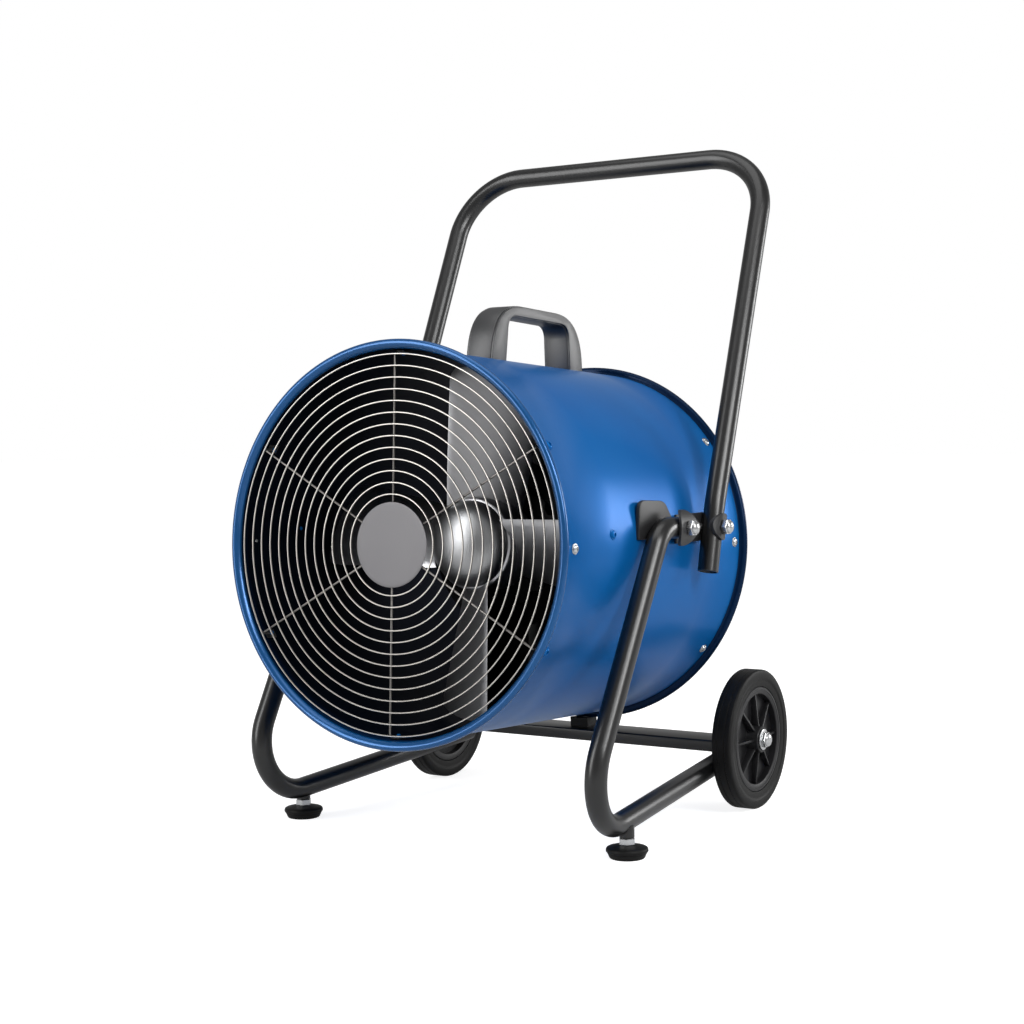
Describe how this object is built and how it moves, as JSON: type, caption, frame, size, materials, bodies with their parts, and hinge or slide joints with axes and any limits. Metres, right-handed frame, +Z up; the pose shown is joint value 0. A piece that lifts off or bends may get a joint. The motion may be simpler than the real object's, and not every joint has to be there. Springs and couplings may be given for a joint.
{
  "type": "floor blower",
  "caption": "Drum fan that tilts in a wheeled tube frame, with a folding push handle, a top carry handle, wire guards and levelling feet.",
  "frame": {"origin": "on the floor, under the middle of the outer box", "axes": "+Z up, -Y the way the air leaves, +X to the right when the mouth is seen from the front"},
  "size_m": [0.5346, 0.55, 0.8424],
  "materials": {
    "blue_coat": "glossy",
    "black_paint": "semi-gloss",
    "rubber": "matte",
    "tyre": "matte",
    "zinc": "zinc plated",
    "rim_plastic": "satin",
    "bush": "matte",
    "dark_plastic": "satin",
    "bright_wire": "bright",
    "grey_coat": "satin",
    "polished_aluminium": "polished",
    "motor_grey": "satin paint"
  },
  "bodies": {
    "frame": {"side_frame_right": "black_paint", "side_frame_left": "black_paint", "cross_bar": "black_paint", "tilt_stop": "rubber", "axle_right": "zinc", "axle_left": "zinc", "axle_washer_right": "zinc", "axle_washer_left": "zinc", "axle_nut_right": "zinc", "axle_nut_left": "zinc", "tilt_saddle_right": "black_paint", "tilt_saddle_left": "black_paint", "handle_nut_right": "zinc", "handle_nut_left": "zinc"},
    "foot_right": {"foot_pad_right": "rubber", "foot_stud_right": "zinc", "foot_nut_right": "zinc"},
    "foot_left": {"foot_pad_left": "rubber", "foot_stud_left": "zinc", "foot_nut_left": "zinc"},
    "wheel_right": {"tyre_right": "tyre", "wheel_rim_right": "rim_plastic", "wheel_bush_right": "bush"},
    "wheel_left": {"tyre_left": "tyre", "wheel_rim_left": "rim_plastic", "wheel_bush_left": "bush"},
    "handle": {"push_handle": "black_paint", "handle_saddle_right": "black_paint", "handle_saddle_left": "black_paint"},
    "drum": {"drum_shell": "blue_coat", "pivot_bracket_right": "black_paint", "pivot_bracket_left": "black_paint", "tilt_nut_right": "zinc", "tilt_nut_left": "zinc", "carry_handle": "dark_plastic", "carry_screw_1": "zinc", "carry_screw_2": "zinc", "front_guard": "bright_wire", "guard_disc": "grey_coat", "rear_guard": "bright_wire", "front_screw_1": "zinc", "front_screw_2": "zinc", "front_screw_3": "zinc", "front_screw_4": "zinc", "front_screw_5": "zinc", "front_screw_6": "zinc", "rear_screw_1": "zinc", "rear_screw_2": "zinc", "rear_screw_3": "zinc", "rear_screw_4": "zinc", "rear_screw_5": "zinc", "motor_housing": "motor_grey", "motor_spider": "black_paint", "switch_box": "dark_plastic", "cable_gland": "rim_plastic"},
    "knob": {"switch_knob": "rim_plastic"},
    "fan": {"impeller": "polished_aluminium", "hub_cap": "polished_aluminium", "motor_shaft": "zinc"}
  },
  "joints": [
    {"name": "drum_tilt", "type": "hinge", "parent": "frame", "child": "drum", "pos_m": [0, -0.02284, 0.364], "axis": [1, 0, 0], "range_deg": [0, 25]},
    {"name": "handle_fold", "type": "hinge", "parent": "frame", "child": "handle", "pos_m": [0, 0.06616, 0.361], "axis": [1, 0, 0], "range_deg": [-40, 70]},
    {"name": "fan_spin", "type": "hinge", "parent": "drum", "child": "fan", "pos_m": [0, -0.02398, 0.34103], "axis": [0, 0.9988, -0.0497], "continuous": true},
    {"name": "switch_turn", "type": "hinge", "parent": "drum", "child": "knob", "pos_m": [-0.21276, 0.09509, 0.16867], "axis": [-0.788, -0.0306, -0.6149], "range_deg": [0, 120]},
    {"name": "wheel_right_roll", "type": "hinge", "parent": "frame", "child": "wheel_right", "pos_m": [0.235, 0.18216, 0.0875], "axis": [1, 0, 0], "continuous": true},
    {"name": "foot_right_screw", "type": "slide", "parent": "frame", "child": "foot_right", "axis": [0, 0, -1], "range_m": [0, 0.008]},
    {"name": "wheel_left_roll", "type": "hinge", "parent": "frame", "child": "wheel_left", "pos_m": [-0.235, 0.18216, 0.0875], "axis": [1, 0, 0], "continuous": true},
    {"name": "foot_left_screw", "type": "slide", "parent": "frame", "child": "foot_left", "axis": [0, 0, -1], "range_m": [0, 0.008]}
  ]
}
